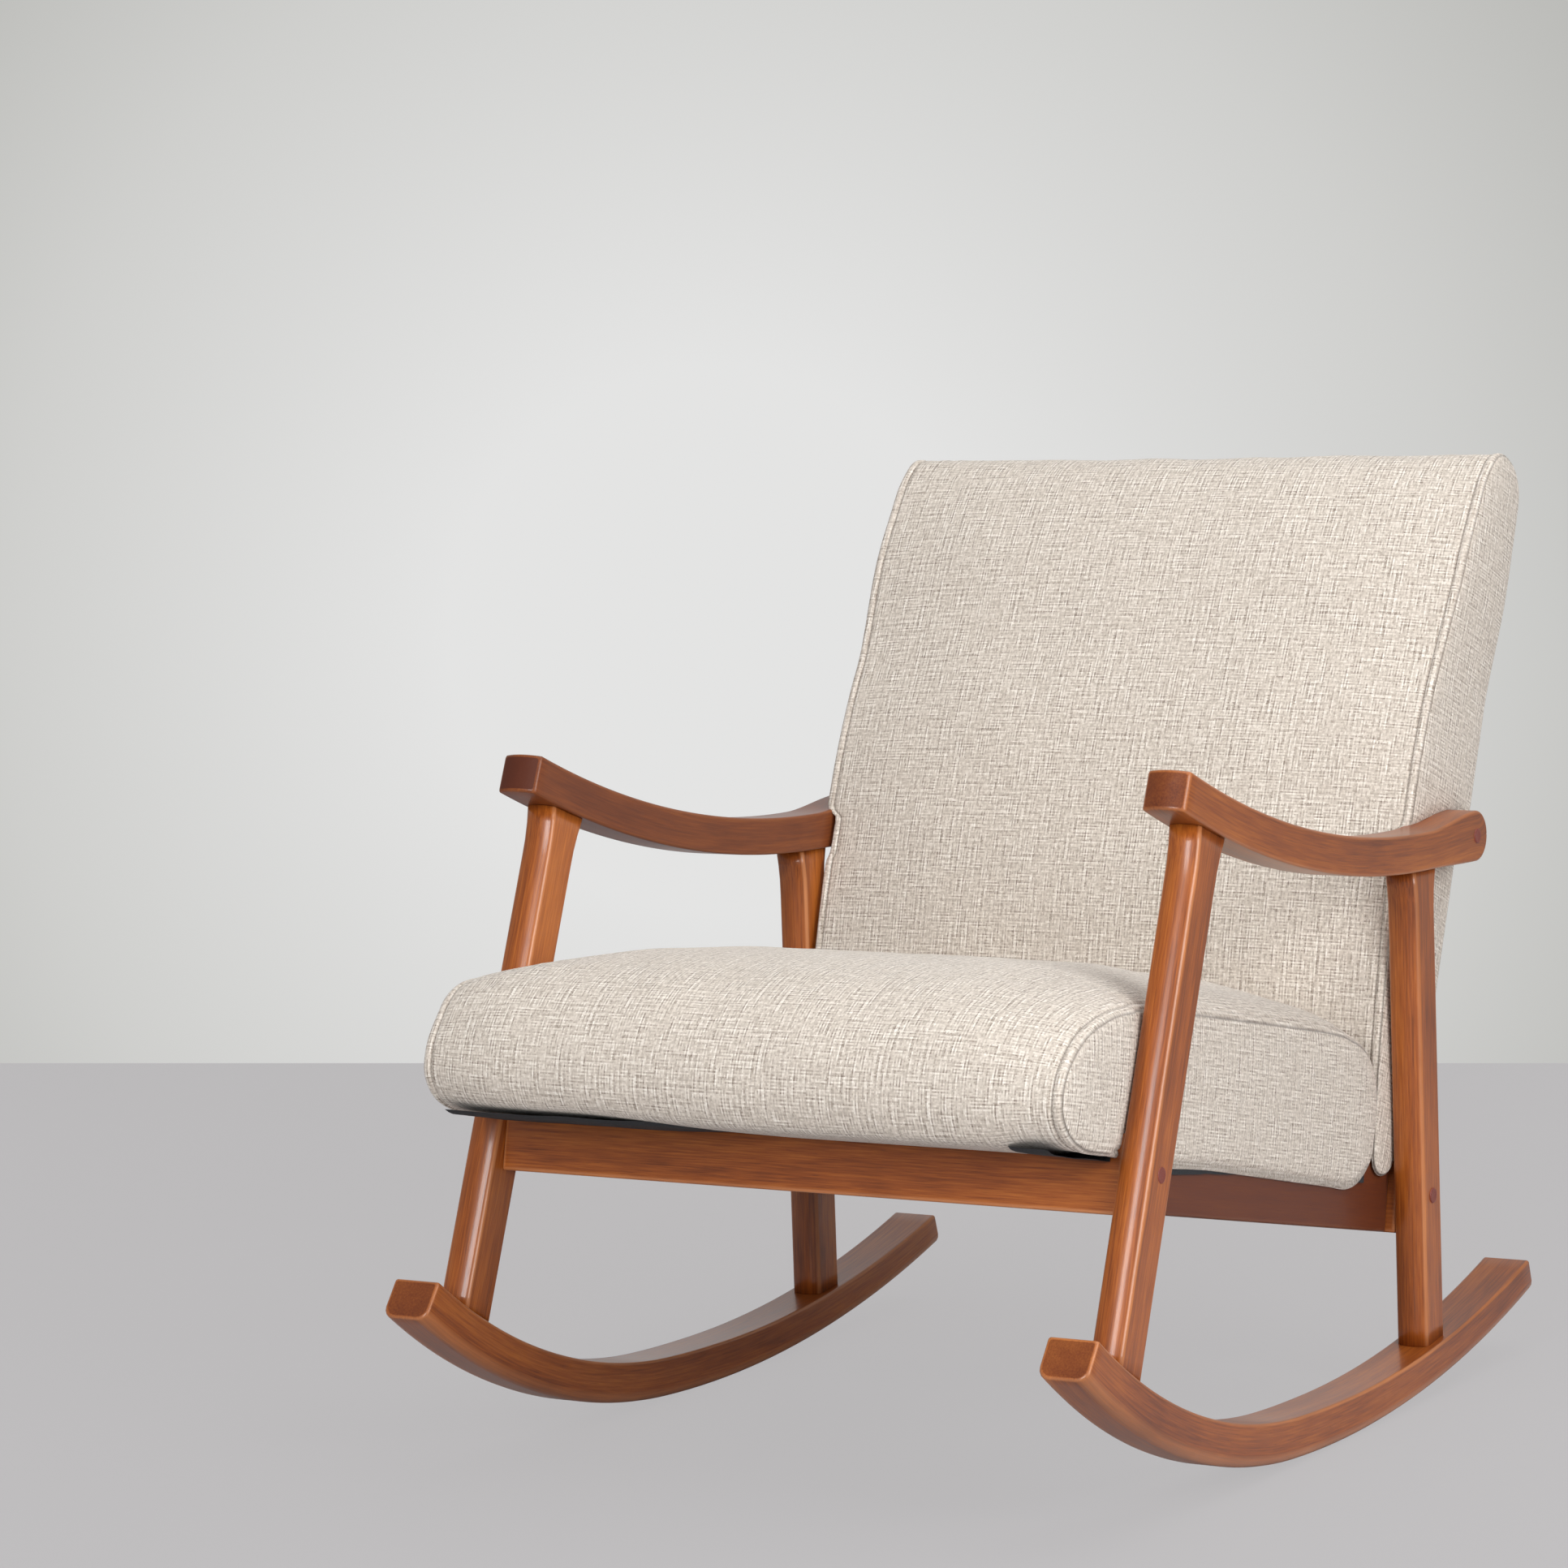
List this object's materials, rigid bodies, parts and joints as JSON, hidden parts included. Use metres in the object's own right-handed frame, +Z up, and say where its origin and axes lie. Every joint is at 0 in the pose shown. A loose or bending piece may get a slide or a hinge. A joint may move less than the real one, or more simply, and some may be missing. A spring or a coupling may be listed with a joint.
{
  "type": "rocking chair",
  "caption": "Upholstered rocking chair: seat and back cushions between two wooden side frames, each with a long curved rocker, slanted legs and a dipped armrest.",
  "frame": {"origin": "centre of the chair in plan, on the floor under its rockers", "axes": "+Z up; the chair faces -Y; nodes named left are at -X, on the left of someone who looks at the chair's front"},
  "size_m": [0.682, 0.9542, 0.8355],
  "materials": {
    "stained_wood": "red-brown stain under satin lacquer",
    "plain_wood": "unfinished",
    "plywood": "unfinished plywood",
    "hardboard": "unfinished, covered by the fabric on the real chair",
    "linen": "slubby linen-look weave in cream and grey-taupe",
    "black_cloth": "thin non-woven dust cloth",
    "zinc_steel": "zinc-plated",
    "cap_plastic": "satin red-brown plastic"
  },
  "bodies": {
    "root": {"rocker_left": "stained_wood", "armrest_left": "stained_wood", "front_leg_left": "stained_wood", "front_leg_foot_dowel_left": "plain_wood", "front_leg_head_dowel_left": "plain_wood", "rear_leg_left": "stained_wood", "rear_leg_foot_dowel_left": "plain_wood", "rear_leg_head_dowel_left": "plain_wood", "rocker_right": "stained_wood", "armrest_right": "stained_wood", "front_leg_right": "stained_wood", "front_leg_foot_dowel_right": "plain_wood", "front_leg_head_dowel_right": "plain_wood", "rear_leg_right": "stained_wood", "rear_leg_foot_dowel_right": "plain_wood", "rear_leg_head_dowel_right": "plain_wood", "front_rail": "stained_wood", "rear_rail": "stained_wood", "side_rail_left": "stained_wood", "front_leg_bolt_left": "zinc_steel", "front_leg_cap_left": "cap_plastic", "front_leg_nut_left": "zinc_steel", "corner_block_front_left": "plain_wood", "rear_leg_bolt_left": "zinc_steel", "rear_leg_cap_left": "cap_plastic", "rear_leg_nut_left": "zinc_steel", "corner_block_rear_left": "plain_wood", "side_rail_right": "stained_wood", "front_leg_bolt_right": "zinc_steel", "front_leg_cap_right": "cap_plastic", "front_leg_nut_right": "zinc_steel", "corner_block_front_right": "plain_wood", "rear_leg_bolt_right": "zinc_steel", "rear_leg_cap_right": "cap_plastic", "rear_leg_nut_right": "zinc_steel", "corner_block_rear_right": "plain_wood", "seat_deck": "plywood", "nose_batten": "plain_wood", "seat_cushion": "linen", "seat_dust_cover": "black_cloth", "back_cheek_left": "plywood", "arm_nut_left": "zinc_steel", "arm_bolt_left": "zinc_steel", "arm_cap_left": "cap_plastic", "back_cheek_right": "plywood", "arm_nut_right": "zinc_steel", "arm_bolt_right": "zinc_steel", "arm_cap_right": "cap_plastic", "back_bottom_rail": "plain_wood", "back_bolt_left": "zinc_steel", "back_nut_left": "zinc_steel", "back_bolt_right": "zinc_steel", "back_nut_right": "zinc_steel", "back_middle_rail": "plain_wood", "back_top_rail": "plain_wood", "back_cushion": "linen", "back_rear_panel": "hardboard"}
  },
  "joints": []
}
